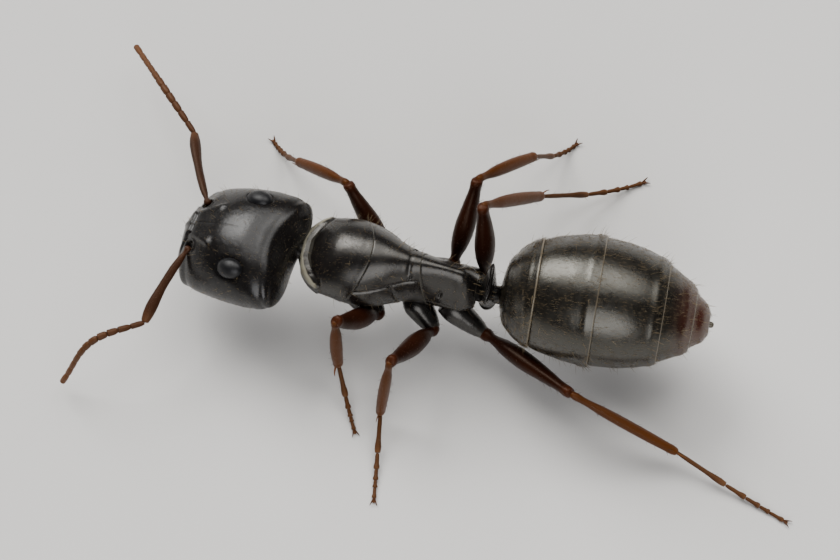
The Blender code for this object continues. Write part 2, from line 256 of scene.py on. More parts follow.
def gaster_frame():
    """The ant's frame turned about the petiole, to where the gaster points."""
    pivot = ant.place((0, GASTER_TURN_AT, 0))
    second, fourth = (box_middle(cad_points(f"gaster_segment_{number}")) for number in (2, 4))
    back = unit((fourth - second) * (1, 1, 0))
    return Frame(pivot - back * GASTER_TURN_AT, np.cross(back, UPWARDS), back, UPWARDS)


def head_frame():
    """The head's frame, from its eyes and jaws: side is to the left eye, back away from the jaws."""
    eyes, jaws = ([cad_points(kind + name).mean(0) for name, _ in SIDES] for kind in ("eye_", "mandible_"))
    side = unit(eyes[0] - eyes[1])
    ahead = (jaws[0] + jaws[1] - eyes[0] - eyes[1]) / 2
    ahead = unit(ahead - side * (ahead @ side))
    above = np.cross(ahead, side)
    back = -math.cos(EYE_TO_JAW_DIP) * ahead - math.sin(EYE_TO_JAW_DIP) * above
    axes = np.array((side, back, np.cross(side, back)))
    corners = cad_points("head") @ axes.T
    local = (box_middle(corners)[0], corners[:, 1].min() - HEAD_FRONT, corners[:, 2].max() - HEAD_TOP)
    return Frame(np.array(local) @ axes, *axes)


def meeting_point(node, *others, reach=0.09):
    """The middle of the face that a CAD node turns to its neighbours."""
    near, far = cad_points(node), cad_points(*others)
    gaps = np.linalg.norm(near[:, None] - far[None], axis=2).min(1)
    return box_middle(near[gaps < reach])


def meeting_points(nodes):
    """Where each CAD node of a chain meets the one before."""
    return [meeting_point(node, before) for before, node in zip(nodes, nodes[1:])]


def far_end(node, start, share=0.1):
    """The middle of a CAD node's end away from start."""
    corners = cad_points(node)
    distance = np.linalg.norm(corners - start, axis=1)
    return box_middle(corners[distance > distance.max() * (1 - share)])


def eye_centre(name):
    """The middle of an eye, in the head's frame."""
    return head.read(cad_points("eye_" + name).mean(0))


# ---- meshes ----


def grid_quads(index, wrapped=True):
    """The faces between a grid's points, from the points' numbers."""
    right = np.roll(index, -1, 1)
    quads = np.stack((index[:-1], right[:-1], right[1:], index[1:]), -1)
    return (quads if wrapped else quads[:, :-1]).reshape(-1, 4)


def closed_shell(grid, tone=0.0):
    """A shell from a grid that closes round its columns and has a point at each end."""
    index = np.arange(grid[..., 0].size).reshape(grid.shape[:2])
    right = np.roll(index, -1, 1)
    first = np.full(index.shape[1], index.size)
    start = np.stack((first, right[0], index[0]), -1)
    end = np.stack((first + 1, index[-1], right[-1]), -1)
    points = np.concatenate((grid.reshape(-1, 3), grid[0].mean(0)[None], grid[-1].mean(0)[None]))
    tones = np.broadcast_to(tone, index.shape)
    tones = np.concatenate((tones.ravel(), tones[0, :1], tones[-1, :1]))
    return Shell(points, grid_quads(index), np.concatenate((start, end)), tones)


def plate_shell(outer, inner, wrapped, tone=0.0):
    """A thick plate between two grids, which share the outer one's edges."""
    index = np.arange(outer[..., 0].size).reshape(outer.shape[:2])
    rim = np.zeros(index.shape, bool)
    rim[[0, -1]] = True
    if not wrapped:
        rim[:, [0, -1]] = True
    under = index.copy()
    under[~rim] = index.size + np.arange((~rim).sum())
    points = np.concatenate((outer.reshape(-1, 3), inner[~rim]))
    quads = np.concatenate((grid_quads(index, wrapped), grid_quads(under, wrapped)[:, ::-1]))
    tones = np.broadcast_to(tone, index.shape)
    return Shell(points, quads, np.empty((0, 3), int), np.concatenate((tones.ravel(), tones[~rim])))


def joined(shells):
    """One shell of several."""
    points, quads, triangles, tones = zip(*shells)
    starts = np.cumsum([0] + [len(part) for part in points])
    faces = ([part + start for part, start in zip(parts, starts)] for parts in (quads, triangles))
    return Shell(*map(np.concatenate, (points, *faces, tones)))


def on_side(shell, side):
    """A left-hand shell as it is, or mirrored to the ant's right where side is -1."""
    if side > 0:
        return shell
    return Shell(shell.points * (-1, 1, 1), shell.quads[:, ::-1], shell.triangles[:, ::-1], shell.tone)


def placed(shell, place):
    """The shell moved out of a frame's own coordinates."""
    return shell._replace(points=place.place(shell.points))


def add_object(name, data):
    made = bpy.data.objects.new(name, data)
    bpy.context.scene.collection.objects.link(made)
    return made


def add_piece(name, shell, finish, replaced=()):
    """Makes a piece that rides on the ant's body, from a shell in mm."""
    mesh = bpy.data.meshes.new(name)
    mesh.from_pydata(shell.points * MM, [], shell.quads.tolist() + shell.triangles.tolist())
    mesh.attributes.new("tone", "FLOAT", "POINT").data.foreach_set("value", shell.tone)
    mesh.shade_smooth()
    mesh.materials.append(materials[finish])
    piece = add_object(name, mesh)
    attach(piece, "root")
    if replaced:
        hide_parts(*replaced)
    return piece


# ---- forms ----


def body_surface(form, widest, along, angle, keel=0):
    """Points of a form at places along it and angles round it; keel narrows its top."""
    width, top, bottom = read_curve(form, along)
    waist = bottom + widest * (top - bottom)
    side, up = np.sin(angle), np.cos(angle)
    height = np.where(up > 0, top - waist, waist - bottom)
    return np.stack((width * side * (1 - keel * np.maximum(up, 0)), along, waist + height * up), -1)


def rounded_ends(grid, radius):
    """Draws each row in near both ends, so that the form closes roundly."""
    return drawn_in(grid, end_rounding(grid[:, :1, 1:2], radius, 0.004))


def drawn_in(grid, share):
    """Each row drawn in about its middle, to a share of its size."""
    middle = grid.mean(1, keepdims=True)
    return middle + (grid - middle) * share


def tube(path, depth, width, side, columns):
    """A grid round a path. depth and width are half sizes, and side is the way that width is measured."""
    ahead = unit(np.gradient(path, axis=0))
    side = unit(side - ahead * (ahead @ side)[:, None])
    deep = np.cross(side, ahead)
    angle = turns(columns)[None, :, None]
    return (
        path[:, None]
        + side[:, None] * width[:, None, None] * np.sin(angle)
        + deep[:, None] * depth[:, None, None] * np.cos(angle)
    )


def limb(start, end, profile, side, bow=0.0, rows=56, columns=26):
    """A limb's grid from start to end, with half depths and half widths, or radii, at shares of its length.

    side is the normal of the plane that it bends in, and bow is how far it arches in that plane.
    """
    start, end = np.array((start, end), float)
    share = eased(rows, 0.75)
    widths = read_curve(profile, share)
    depth, width = widths[0], widths[-1]
    closing = end_rounding(share, 0.02, 0.02)
    side = unit(side)
    arch = np.cross(side, unit(end - start))
    path = start + (end - start) * share[:, None] + arch * (bow * 4 * share * (1 - share))[:, None]
    return tube(path, depth * closing, width * closing, side, columns), share


def limb_shell(*settings, tone=0.0, **sizes):
    return closed_shell(limb(*settings, **sizes)[0], tone)


def spline(corners, count):
    """Evenly spaced points on a smooth line through the corners."""
    corners = np.asarray(corners, float)
    reach = np.concatenate(((0,), np.cumsum(np.linalg.norm(np.diff(corners, axis=0), axis=1))))
    table = np.column_stack((reach, corners))
    return np.moveaxis(read_curve(table, np.linspace(0, reach[-1], count)), 0, -1)


LINE_POINTS = 200  # on a line that joints lie along


def stretches(line, lengths):
    """The two ends of each joint along a line, for joints of these relative lengths."""
    ends = np.concatenate(((0,), np.cumsum(lengths))) / np.sum(lengths)
    marks = [line[round(end * (len(line) - 1))] for end in ends]
    return list(zip(marks, marks[1:]))


# ---- materials ----


def fill(tree, node, inputs):
    """Sets a node's inputs, by name or number, to values or to other nodes' outputs."""
    for key, value in inputs.items():
        if isinstance(value, bpy.types.NodeSocket):
            tree.links.new(value, node.inputs[key])
        else:
            node.inputs[key].default_value = value


def add_node(tree, kind, inputs=(), **settings):
    node = tree.nodes.new(kind)
    for key, value in settings.items():
        setattr(node, key, value)
    fill(tree, node, dict(inputs))
    return node


def noise(tree, size, detail=3.0):
    """A cloudy pattern, 0 to 1, whose features are about size mm across."""
    place = add_node(tree, "ShaderNodeTexCoord").outputs["Object"]
    inputs = {"Vector": place, "Scale": 1 / (size * MM), "Detail": detail}
    return add_node(tree, "ShaderNodeTexNoise", inputs).outputs["Fac"]


def cells(tree, size):
    """Net-like cells about size mm across, 0 at their edges."""
    place = add_node(tree, "ShaderNodeTexCoord").outputs["Object"]
    inputs = {"Vector": place, "Scale": 1 / (size * MM)}
    return add_node(tree, "ShaderNodeTexVoronoi", inputs, feature="DISTANCE_TO_EDGE").outputs["Distance"]


def bump(tree, height, depth, strength, below=None):
    """Normals for a relief depth mm deep, over an earlier relief's normals if given."""
    inputs = {"Height": height, "Distance": depth * MM, "Strength": strength}
    if below:
        inputs["Normal"] = below
    return add_node(tree, "ShaderNodeBump", inputs).outputs["Normal"]


def span(tree, value, low, high):
    """value, 0 to 1, as a number from low to high."""
    inputs = {"Value": value, "To Min": low, "To Max": high}
    return add_node(tree, "ShaderNodeMapRange", inputs).outputs["Result"]


def mixed(tree, share, first, second):
    """A colour between two, each a colour or a socket."""
    colours = (part if isinstance(part, bpy.types.NodeSocket) else (*part, 1) for part in (first, second))
    inputs = dict(zip((0, 6, 7), (share, *colours)))  # the Mix node's factor and its colours A and B
    return add_node(tree, "ShaderNodeMix", inputs, data_type="RGBA").outputs[2]


def clamped(tree, value, scale):
    """value times scale, kept between 0 and 1."""
    inputs = {0: value, 1: scale}
    return add_node(tree, "ShaderNodeMath", inputs, operation="MULTIPLY", use_clamp=True).outputs[0]


def new_material(name):
    """A material, its tree and its shader."""
    material = bpy.data.materials.new(name)
    material.use_nodes = True
    return material, material.node_tree, material.node_tree.nodes["Principled BSDF"]


# deep and cloudy are the main colour and its blotches, pale is at tone 1 and red at tone -1; grain is
# the fine cells' size in mm and relief their strength, and sheen is the gloss's tint.
FINISH_FIELDS = "deep cloudy pale red rough grain relief coat specular sheen"
Finish = namedtuple("Finish", FINISH_FIELDS, defaults=[(1, 1, 1)])
BLACK, BLACK_CLOUD, DARK_RED = (0.003, 0.0028, 0.0029), (0.007, 0.0055, 0.005), (0.05, 0.012, 0.006)
FINISHES = {
    # Its pale colour is also what paints the collar's highlight.
    "chitin": Finish(
        BLACK, BLACK_CLOUD, (0.21, 0.195, 0.148), DARK_RED,
        0.27, 0.03, 0.5, 0.05, 0.5, (1.0, 0.965, 0.9),
    ),
    "head": Finish(
        BLACK, BLACK_CLOUD, (0.18, 0.16, 0.125), DARK_RED,
        0.26, 0.03, 0.5, 0.03, 0.34,
    ),
    "gaster": Finish(
        (0.0036, 0.0033, 0.0026), (0.0085, 0.0066, 0.0048), (0.18, 0.145, 0.098), (0.04, 0.007, 0.003),
        0.27, 0.035, 0.6, 0.04, 0.66, (1.0, 0.97, 0.86),
    ),
    "eye": Finish(
        (0.004, 0.004, 0.0048), (0.01, 0.01, 0.011), (0.02, 0.018, 0.016), (0.01, 0.006, 0.005),
        0.32, 0.01, 0.1, 0.04, 0.24,
    ),
    "jaw": Finish(
        (0.009, 0.0038, 0.0026), (0.024, 0.0075, 0.004), (0.12, 0.035, 0.012), (0.075, 0.016, 0.007),
        0.32, 0.025, 0.5, 0.2, 0.4,
    ),
    "feeler": Finish(
        (0.019, 0.0056, 0.0022), (0.035, 0.0115, 0.0044), (0.15, 0.06, 0.023), (0.06, 0.018, 0.008),
        0.44, 0.02, 0.6, 0.00, 0.2, (1.0, 0.8, 0.64),
    ),
    "leg": Finish(
        (0.012, 0.003, 0.0014), (0.024, 0.0066, 0.0027), (0.18, 0.058, 0.012), (0.044, 0.011, 0.004),
        0.34, 0.025, 0.5, 0.00, 0.13, (1.0, 0.76, 0.58),
    ),
    "foot": Finish(
        (0.05, 0.018, 0.006), (0.078, 0.03, 0.0105), (0.15, 0.066, 0.026), (0.054, 0.017, 0.006),
        0.46, 0.02, 0.5, 0.00, 0.2, (1.0, 0.72, 0.52),
    ),
}
MOTTLE_SIZE, MOTTLE_SHARES = 0.9, (-0.4, 1.3)  # blotches, in mm, and how far they swing the colour
POLISH_SIZE, POLISH_SWING = 0.25, (-0.06, 0.08)  # patches that gleam more or less
CELL_DEPTH = 0.004
RIPPLE_SIZE, RIPPLE_DEPTH, RIPPLE_STRENGTH = 0.12, 0.012, 0.35


def shell_material(name, finish):
    """Glossy shell with a net of fine cells. tone, painted on the mesh, makes it paler or redder."""
    material, tree, shader = new_material("ant_" + name)
    mottle = span(tree, noise(tree, MOTTLE_SIZE, 4), *MOTTLE_SHARES)
    colour = mixed(tree, mottle, finish.deep, finish.cloudy)
    tone = add_node(tree, "ShaderNodeAttribute", attribute_name="tone").outputs["Fac"]
    colour = mixed(tree, clamped(tree, tone, -1), colour, finish.red)
    colour = mixed(tree, clamped(tree, tone, 1), colour, finish.pale)
    rough = span(tree, noise(tree, POLISH_SIZE, 4), *(finish.rough + swing for swing in POLISH_SWING))
    net = bump(tree, cells(tree, finish.grain), CELL_DEPTH, finish.relief)
    ripples = bump(tree, noise(tree, RIPPLE_SIZE, 3), RIPPLE_DEPTH, RIPPLE_STRENGTH, net)
    fill(tree, shader, {
        "Base Color": colour, "Roughness": rough, "Normal": ripples, "IOR": 1.52,
        "Specular IOR Level": finish.specular, "Specular Tint": (*finish.sheen, 1),
        "Coat Weight": finish.coat, "Coat Roughness": 0.2,
    })
    return material


HAIR_COLOURS = {
    "hair": ((0.12, 0.086, 0.045), (0.24, 0.180, 0.100)),
    "leg_hair": ((0.050, 0.022, 0.010), (0.110, 0.055, 0.025)),
}


def dull_material(name, size, colours, rough, specular):
    """A material clouded between two colours, in patches about size mm across."""
    material, tree, shader = new_material(name)
    colour = mixed(tree, noise(tree, size), *colours)
    fill(tree, shader, {"Base Color": colour, "Roughness": rough, "Specular IOR Level": specular})
    return material


# ---- head ----

CLYPEUS_OUTLINE = ((-1.35, 0.66), (-1.22, 0.63), (-1.1, 0.46), (-0.98, 0.33), (-0.88, 0.2))
CLYPEUS_BACK = -0.88
CLYPEUS_RISE, CLYPEUS_MIDDLE, CLYPEUS_SPREAD = 0.09, -0.98, (0.42, 0.31)


def clypeus_relief(x, y):
    """A raised plate over the mouth, with a groove round it and a low keel."""
    (half,) = read_curve(CLYPEUS_OUTLINE, y)
    inside = np.minimum((half - x) * 0.85, CLYPEUS_BACK - y)
    swell = CLYPEUS_RISE * bell(x / CLYPEUS_SPREAD[0]) * bell((y - CLYPEUS_MIDDLE) / CLYPEUS_SPREAD[1])
    plate = 0.03 * smooth(inside / 0.05 + 0.4) - 0.03 * bell((inside + 0.025) / 0.03)
    keel = 0.022 * bell(x / 0.05) * window(y, -1.2, -0.9, 0.1)
    return swell + plate + keel


def brow_relief(x, y):
    """The frontal ridges, which run back from the clypeus and overhang the antennae's sockets."""
    line = 0.27 + 0.25 * smooth((y + 0.98) / 0.9)
    beyond = x - line
    ridge = np.where(beyond < 0, bell(beyond / 0.14), bell(beyond / 0.06))
    return 0.04 * ridge * window(y, -0.94, -0.34, 0.2)


def socket_relief(x, y):
    """The pit that an antenna turns in, with a raised rim."""
    away = np.hypot(x - ANTENNA_SOCKET[0], y - ANTENNA_SOCKET[1])
    return 0.016 * bell((away - 0.155) / 0.03) - 0.09 * smooth((0.145 - away) / 0.06)


def eye_rim_relief(x, y, z):
    """A groove along the line where the eye's dome comes out of the head, and a low swelling beyond."""
    centre = eye_centre("left")
    across, outward = turned(x - centre[0], z - centre[2], EYE_TILT)
    away = np.linalg.norm(np.stack((across, y - centre[1], outward), -1) / EYE_RADII, axis=-1)
    return 0.004 * bell((away - 1.35) / 0.35) - 0.014 * bell((away - 1.03) / 0.07)


def head_relief(points):
    x, y, z = outwards(points)
    face = smooth((z + 0.02) / 0.15)
    under = smooth((-z - 0.2) / 0.25)
    middle_line = -0.006 * bell(x / 0.018) * window(y, -0.76, 0.25, 0.2)
    relief = face * (clypeus_relief(x, y) + brow_relief(x, y) + socket_relief(x, y) + middle_line)
    relief += face * eye_rim_relief(x, y, z)
    mouth = -0.16 * window(y, -1.5, -0.84, 0.12) * smooth((0.44 - x) / 0.1)
    throat_line = -0.018 * bell(x / 0.02) * window(y, -0.8, 0.7, 0.15)
    cheek_line = -0.015 * bell((x - 0.5 - 0.1 * (y + 0.8)) / 0.025) * window(y, -1.1, -0.5, 0.2)
    return relief + under * (mouth + throat_line + cheek_line)


def head_grid():
    angle = turns(372)
    angle = angle - FACE_CROWDING * np.sin(angle)
    start, end = HEAD_FRONT, HEAD_FORM[-1][0]
    grid = body_surface(HEAD_FORM, HEAD_WIDEST, *lattice(eased(262, 0.72, start, end), angle))
    grid = rounded_ends(grid, 0.13)
    share = (grid[..., 1] - start) / (end - start)
    middle = bell(grid[..., 0] / NAPE_NOTCH_WIDTH)
    grid[..., 1] -= NAPE_NOTCH * middle * np.maximum(share, 0) ** NAPE_NOTCH_POWER
    return grid + grid_normals(grid, True) * head_relief(grid)[..., None]


def eye_shell(side):
    """A domed eye whose facets lie in a honeycomb. Its pole looks out of the head."""
    down, angle = lattice(np.linspace(0.004, np.pi - 0.02, 150), turns(190))
    ring = np.sin(down)
    ball = np.stack((ring * np.sin(angle), ring * np.cos(angle), np.cos(down)), -1)
    flat = np.stack((down * np.sin(angle) * EYE_RADII[0], down * np.cos(angle) * EYE_RADII[1]), -1)
    dome = honeycomb_domes(flat, EYE_FACET) * smooth((2.0 - down) / 0.3)
    grid = ball * EYE_RADII + unit(ball / EYE_RADII) * (EYE_FACET_RISE * dome)[..., None]
    grid[..., 0], grid[..., 2] = turned(grid[..., 0], grid[..., 2], -EYE_TILT)
    return on_side(closed_shell(grid[::-1]), side)


def honeycomb_domes(flat, pitch):
    """Height from 0 to 1 of round-topped cells in a honeycomb over flat (x, y) points."""
    row_height = pitch * math.sqrt(3) / 2
    nearest = np.full(flat.shape[:-1], np.inf)
    base = np.round(flat[..., 1] / row_height)
    for step in (-1, 0, 1):
        row = base + step
        shift = np.where(np.mod(row, 2) == 0, 0, pitch / 2)
        x = np.round((flat[..., 0] - shift) / pitch) * pitch + shift
        nearest = np.minimum(nearest, np.hypot(flat[..., 0] - x, flat[..., 1] - row * row_height))
    return 1 - (nearest / (pitch * 0.577)) ** 2


MANDIBLE = (  # share from base to tip: place along Y, outer edge, inner edge, half thickness, height
    (0.00, -1.00, 0.86, 0.36, 0.15, -0.11),
    (0.25, -1.22, 0.88, 0.20, 0.17, -0.14),
    (0.50, -1.41, 0.78, 0.08, 0.15, -0.20),
    (0.75, -1.57, 0.56, 0.03, 0.11, -0.28),
    (0.92, -1.67, 0.31, 0.02, 0.07, -0.35),
    (1.00, -1.73, 0.11, 0.02, 0.03, -0.39),
)
TOOTH_COUNT, TOOTH_START, TOOTH_DEPTH = 5, 0.34, 0.085


def mandible_shell(side):
    """A curved triangular blade, thick along its outer edge, with pointed teeth along its inner one."""
    share, angle = lattice(eased(170, 0.5), turns(30))
    along, outer, inner, thick, height = read_curve(MANDIBLE, share)
    phase = (share - TOOTH_START) / (1 - TOOTH_START) * TOOTH_COUNT
    point = 1 - np.abs(2 * np.mod(phase, 1) - 1)
    inner = inner + TOOTH_DEPTH * (1 - point) * smooth(phase * 2) * smooth((1 - share) / 0.06)
    closing = end_rounding(share, 0.04, 0.03)
    middle, half = (outer + inner) / 2, (outer - inner) / 2 * closing
    across = np.sin(angle)
    thickness = thick * closing * np.cos(angle) * (0.3 + 0.7 * smooth(across * 0.6 + 0.5))
    crown = 0.05 * (1 - across**2) * closing
    redder = smooth((share - 0.3) / 0.6) * smooth(0.5 - 0.5 * across)
    grid = np.stack((middle + half * across, along, height + thickness + crown), -1)
    return on_side(closed_shell(grid[::-1], -redder[::-1]), side)


LIP_ENDS = ((0, -1.34, -0.38), (0, -0.78, -0.62))
LIP = ((0, 0.06, 0.2), (0.3, 0.12, 0.3), (0.7, 0.13, 0.28), (1, 0.05, 0.18))
PALPS = (  # on the left: the places that it bends round, number of joints, radius
    (((0.28, -1.12, -0.46), (0.4, -1.22, -0.68), (0.46, -1.04, -0.88), (0.44, -0.78, -1.00)), 5, 0.034),
    (((0.12, -1.28, -0.48), (0.16, -1.36, -0.64), (0.17, -1.24, -0.78)), 4, 0.026),
)


def mouthpart_shells():
    """The lip, and the palps that hang from the mouth."""
    shells = [limb_shell(*LIP_ENDS, LIP, SIDEWAYS, rows=30)]
    for sign in (1, -1):
        for corners, count, radius in PALPS:
            shells += segmented(np.multiply(corners, (sign, 1, 1)), count, radius, SIDEWAYS)
    return shells


def segmented(corners, count, radius, side):
    """Short segments end to end along a bent line, each wider at its far end."""
    places = spline(corners, count + 1)
    profile = ((0, 0.6 * radius), (0.7, radius), (1, 0.8 * radius))
    return [limb_shell(*ends, profile, side, rows=12, columns=10) for ends in zip(places, places[1:])]


def add_head():
    grid = head_grid()
    add_piece("head_capsule", placed(closed_shell(grid), head), "head", ["head"])
    skins["head"] = [Skin(head.place(grid))]
    for name, side in SIDES:
        eye = eye_shell(side)
        eye = eye._replace(points=eye.points + eye_centre(name))
        add_piece("compound_eye_" + name, placed(eye, head), "eye", ["eye_" + name])
        add_piece("jaw_" + name, placed(mandible_shell(side), head), "jaw", ["mandible_" + name])
    add_piece("mouthparts", placed(joined(mouthpart_shells()), head), "jaw")


# ---- antennae ----

SCAPE = (  # share, half depth, half width
    (0.00, 0.060, 0.060),
    (0.04, 0.085, 0.085),
    (0.08, 0.055, 0.055),
    (0.16, 0.075, 0.070),
    (0.55, 0.100, 0.085),
    (0.90, 0.122, 0.100),
    (1.00, 0.085, 0.080),
)
FLAGELLUM = (1.25, 1.15, 1, 1, 1, 1, 1, 1, 1, 1, 1.45)  # the joints' relative lengths
FLAGELLUM_RADIUS = 0.085


def add_antenna(name, side):
    prefix = f"antenna_{name}_"
    nodes = [prefix + part for part in ("scape", "funiculus_base", "funiculus_tip")]
    socket = head.place(np.multiply(ANTENNA_SOCKET, (side, 1, 1)))
    elbow, bend = meeting_points(nodes)
    tip = far_end(nodes[2], bend)
    plane = np.cross(elbow - socket, bend - elbow)
    scape, share = limb(socket, elbow, SCAPE, plane, bow=0.07, rows=90)
    tone = 0.35 * smooth((share - 0.8) / 0.2)[:, None]
    add_piece("scape_" + name, closed_shell(scape, tone), "feeler", nodes[:1])
    shells, pieces = [], []
    for number, (start, end) in enumerate(stretches(spline((elbow, bend, tip), LINE_POINTS), FLAGELLUM)):
        radius = FLAGELLUM_RADIUS * (0.8 + 0.2 * math.sin(math.pi * min(number / 7, 1)))
        last = number == len(FLAGELLUM) - 1
        widths = (0.62, 0.8, 1, 0.85 if last else 0.98, 0.45 if last else 0.86)
        profile = [(at, wide * radius) for at, wide in zip((0, 0.12, 0.75, 0.94, 1), widths)]
        grid = limb(start, end, profile, plane, rows=24, columns=20)[0]
        shells.append(closed_shell(grid, 0.15 + 0.45 * number / (len(FLAGELLUM) - 1)))
        pieces.append(Skin(grid))
    add_piece("funiculus_" + name, joined(shells), "feeler", nodes[1:])
    skins["antenna_" + name] = [Skin(scape)] + pieces


# ---- trunk, petiole and gaster ----

Lap = namedtuple("Lap", "thickness lip tuck overlap")  # how plates lie over each other, in mm
TRUNK_LAP = Lap(0.06, 0.012, 0.05, 0.12)
GASTER_LAP = Lap(0.05, 0.014, 0.07, 0.14)
EDGE_RADIUS, EDGE_DROP = 0.03, 0.022


def plate(surface, start, end, angles, wrapped, rows, relief, lap):
    """A plate of a form between two edges, which lies over the next plate and under the one before.

    surface(along, angle) gives the form; start and end are places along it, one for each angle.
    """
    share = eased(rows, 0.85)[:, None]
    start = start - lap.overlap
    along = start + (end - start) * share
    base = surface(along, np.broadcast_to(angles, along.shape))
    normals = grid_normals(base, wrapped)
    to_start, to_end = along - start, end - along
    edge = np.minimum(to_start, to_end)
    if not wrapped:
        width = np.linalg.norm(np.diff(base, axis=1), axis=2)
        reach = np.concatenate((np.zeros((rows, 1)), np.cumsum(width, axis=1)), axis=1)
        edge = np.minimum(edge, np.minimum(reach, reach[:, -1:] - reach))
    lift = -lap.tuck * (1 - smooth(to_start / (lap.overlap * 1.4))) + lap.lip * (1 - smooth(to_end / 0.2))
    lift = lift + relief(base)
    round_edge = rounding(edge, EDGE_RADIUS)
    outer = base + normals * (lift - EDGE_DROP * (1 - round_edge))[..., None]
    inner = base + normals * (lift - EDGE_DROP - lap.thickness * round_edge)[..., None]
    return outer, inner, to_end


def trunk_surface(along, angle):
    keel = TRUNK_KEEL * np.clip((along - TRUNK_KEEL_START) / TRUNK_KEEL_RUN, 0, 1)
    return body_surface(TRUNK_FORM, TRUNK_WIDEST, along, angle, keel)


def suture_line(suture, angles):
    """Where an oblique cut crosses the trunk, as a place along it for each angle."""
    y, z, lean = suture
    along = np.full(angles.shape, float(y))
    for _ in range(12):
        height = trunk_surface(along, angles)[:, 2]
        along = y + lean * (height - z)
    return along


def groove(y, z, start, end, width=0.03, depth=0.03):
    """A groove along a straight line in side view, from start to end, each (y, z)."""
    start, end = np.array(start), np.array(end)
    way = end - start
    length = np.hypot(*way)
    along = ((y - start[0]) * way[0] + (z - start[1]) * way[1]) / length**2
    off = ((y - start[0]) * way[1] - (z - start[1]) * way[0]) / length
    return -depth * bell(off / width) * window(along, 0, 1, 0.06)


def spiracle(y, z, at, radii, lean):
    """A slit-shaped breathing hole with a raised rim, in side view."""
    across, along = turned(y - at[0], z - at[1], lean)
    away = np.hypot(across / radii[0], along / radii[1])
    return 0.022 * bell((away - 1.25) / 0.35) - 0.05 * smooth((1 - away) / 0.5)


def behind_front_edge(p):
    """How far back from the trunk's front outline points lie, seen from above."""
    places, widths = np.array(TRUNK_FORM[:6])[:, :2].T
    return p[..., 1] - np.interp(np.abs(p[..., 0]), widths, places)


def pronotum_relief(p):
    x, y, z = outwards(p)
    inwards = behind_front_edge(p)
    collar = 0.035 * bell((inwards - 0.08) / 0.07) - 0.045 * bell((inwards - 0.25) / 0.07)
    side = groove(y, z, (-2.3, 2.05), (-1.75, 1.8), 0.05, 0.03) * smooth(x / 0.4)
    return collar * smooth((-2.2 - y) / 0.15) + side + 0.012 * bell((y + 1.7) / 0.5) * bell(x / 0.3)


def collar_painted_highlight(p):
    """1 on the trunk's front rim: partly its own paler edge, partly a painted highlight, which is left out
    low down.
    """
    rim = window(behind_front_edge(p), 0.0, 0.11, 0.03) * smooth((COLLAR_HIGHLIGHT_BACK - p[..., 1]) / 0.1)
    return rim * smooth((p[..., 2] - COLLAR_HIGHLIGHT_LOW) / 0.15)


def mesothorax_relief(p):
    x, y, z = outwards(p)
    side = smooth((x - 0.25) / 0.15)
    plates = groove(y, z, (-1.52, 2.5), (-0.22, 2.58), 0.03, 0.035)
    plates += groove(y, z, (-0.72, 2.55), (-0.42, 1.3), 0.03, 0.032)
    plates += groove(y, z, (-1.62, 2.02), (-0.6, 1.86), 0.035, 0.018)
    plates += spiracle(y, z, (-0.3, 2.72), (0.035, 0.07), 0.5)
    swelling = 0.05 * bell((y + 1.1) / 0.36) * bell((z - 2.1) / 0.34)
    waist = -0.02 * bell((y + 0.36) / 0.05) * (1 - side)
    return side * (plates + swelling) + waist


def propodeum_relief(p):
    x, y, z = outwards(p)
    side = smooth((x - 0.15) / 0.15)
    plates = groove(y, z, (-0.02, 1.92), (0.86, 1.76), 0.03, 0.032)
    plates += groove(y, z, (0.06, 1.45), (0.8, 1.52), 0.03, 0.018)
    plates += spiracle(y, z, (0.38, 2.2), (0.045, 0.1), 0.35)
    return side * plates


def add_trunk():
    columns = 220
    angles = turns(columns)
    front, back = (suture_line(suture, angles) for suture in TRUNK_SUTURES)
    start, end = np.full(columns, TRUNK_FRONT + 0.12), np.full(columns, TRUNK_FORM[-1][0])
    pieces = (
        ("pronotum", start, front, pronotum_relief, 130),
        ("mesothorax", front, back, mesothorax_relief, 110),
        ("propodeum", back, end, propodeum_relief, 110),
    )
    skins["trunk"] = []
    for name, first, last, relief, rows in pieces:
        outer, inner, to_end = plate(trunk_surface, first, last, angles, True, rows, relief, TRUNK_LAP)
        tone = 0.2 * smooth(1 - to_end / 0.035)
        if name == "pronotum":
            # The collar's rim is painted pale: partly its own paler edge, partly a painted highlight.
            tone = tone + collar_painted_highlight(outer)
        shell = placed(plate_shell(outer, inner, True, tone), ant)
        add_piece(name + "_plate", shell, "chitin", [name])
        skins["trunk"].append(Skin(ant.place(outer)))
    core = drawn_in(trunk_surface(*lattice(np.linspace(TRUNK_FRONT, 1.05, 40), turns(40))), 0.88)
    neck = ((0, 0.2, 0.22), (0.5, 0.17, 0.19), (1, 0.22, 0.26))
    neck = limb_shell((0, -3.45, 2.2), (0, -2.6, 2.25), neck, SIDEWAYS)
    add_piece("trunk_core", placed(joined([closed_shell(core, 0.1), neck]), ant), "chitin")


PETIOLE = (  # up along Z: half width, front and back along Y
    (1.42, 0.16, 1.27, 1.52),
    (1.50, 0.27, 1.20, 1.58),
    (1.75, 0.32, 1.18, 1.60),
    (2.00, 0.38, 1.22, 1.57),
    (2.30, 0.46, 1.28, 1.53),
    (2.52, 0.46, 1.33, 1.50),
    (2.67, 0.36, 1.37, 1.48),
    (2.74, 0.16, 1.40, 1.46),
)


